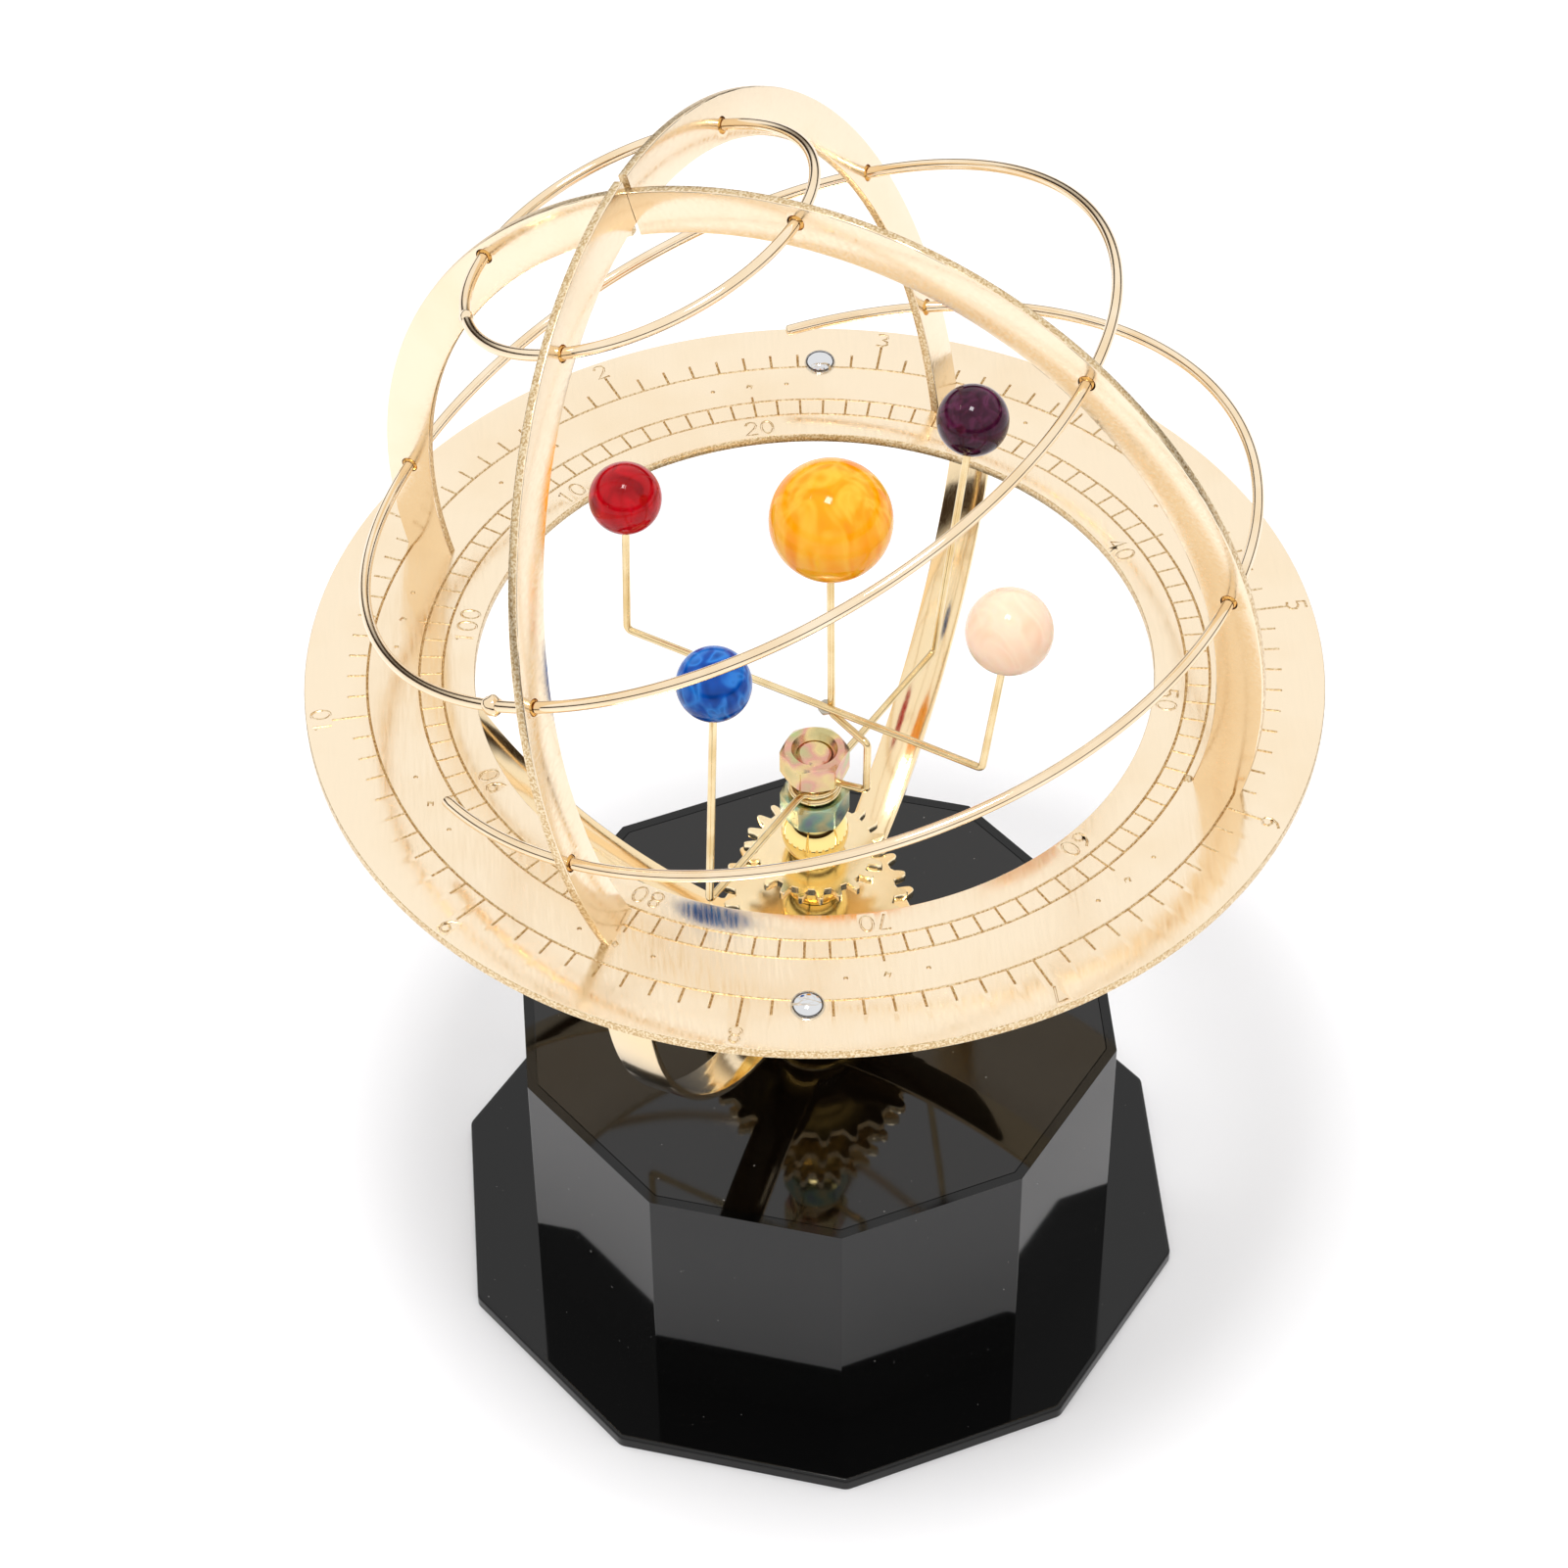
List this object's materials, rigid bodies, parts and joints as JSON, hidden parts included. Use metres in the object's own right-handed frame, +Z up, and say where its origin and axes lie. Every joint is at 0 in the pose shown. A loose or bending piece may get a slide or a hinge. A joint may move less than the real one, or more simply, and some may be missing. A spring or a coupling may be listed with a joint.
{
  "type": "orrery",
  "caption": "Desk orrery with glass planets on bent wire arms that turn on a geared spindle, inside a brass armillary cage on a ten-sided base.",
  "frame": {"origin": "on the floor, on the spindle's axis", "axes": "+Z up along the spindle; -Y is the side that faces the viewer of the picture, with one flat of the base facing +X"},
  "size_m": [0.16, 0.16, 0.2251],
  "materials": {
    "black_gloss_plastic": "high gloss moulded",
    "smoked_gloss_plate": "mirror gloss",
    "black_matte_plastic": "matte moulded",
    "plated_screw_steel": "bright zinc",
    "turned_steel": "turned",
    "satin_gold_sheet": "satin, gold plated, finely brushed",
    "polished_gold_strip": "polished, gold plated",
    "rose_gold_wire": "polished, rose gold plated",
    "gold_gear_plate": "gold plated, lightly etched",
    "bright_gold": "mirror polished",
    "rivet_chrome": "polished",
    "yellow_zinc_nut": "yellow passivated zinc, iridescent",
    "violet_zinc_nut": "blue green passivated zinc, iridescent",
    "arm_wire_gold": "polished wire",
    "solder": "dull",
    "amber_glass": "polished, streaked amber",
    "ruby_glass": "polished, ruby red",
    "cream_glass": "polished, opaque cream",
    "blue_glass": "polished, swirled blue",
    "amethyst_glass": "polished, dark amethyst"
  },
  "bodies": {
    "base": {"base_shell": "black_gloss_plastic", "top_plate": "smoked_gloss_plate", "bottom_cover": "black_matte_plastic", "cover_screws": "plated_screw_steel", "spindle_bush": "turned_steel", "foot_collar": "bright_gold", "lower_strip": "polished_gold_strip", "upper_strip": "polished_gold_strip", "scale_ring": "satin_gold_sheet", "rear_rivet": "rivet_chrome", "front_rivet": "rivet_chrome", "upright_arch": "satin_gold_sheet", "leaning_arch": "satin_gold_sheet", "small_wire_ring": "rose_gold_wire", "middle_wire_ring": "rose_gold_wire", "open_wire_ring": "rose_gold_wire"},
    "spindle": {"spindle_rod": "turned_steel", "retaining_nut": "turned_steel", "retaining_washer": "turned_steel", "thrust_washer": "turned_steel", "large_gear": "gold_gear_plate", "middle_gear": "gold_gear_plate", "small_gear": "gold_gear_plate", "lower_bead": "bright_gold", "middle_bead": "bright_gold", "upper_bead": "bright_gold", "lower_nut": "violet_zinc_nut", "upper_nut": "yellow_zinc_nut", "sun_wire": "arm_wire_gold", "cross_bar": "arm_wire_gold", "solder_joint": "solder", "sun_ball": "amber_glass", "red_ball": "ruby_glass", "cream_ball": "cream_glass"},
    "blue_planet": {"blue_arm": "arm_wire_gold", "blue_ball": "blue_glass"},
    "purple_planet": {"purple_arm": "arm_wire_gold", "purple_ball": "amethyst_glass"}
  },
  "joints": [
    {"name": "spindle_turn", "type": "hinge", "parent": "base", "child": "spindle", "pos_m": [0, 0, 0.07], "axis": [0, 0, 1], "continuous": true},
    {"name": "blue_arm_swing", "type": "hinge", "parent": "spindle", "child": "blue_planet", "pos_m": [0, 0, 0.107], "axis": [0, 0, 1], "range_deg": [-65, 65]},
    {"name": "purple_arm_swing", "type": "hinge", "parent": "spindle", "child": "purple_planet", "pos_m": [0, 0, 0.1055], "axis": [0, 0, 1], "range_deg": [-45, 70]}
  ]
}
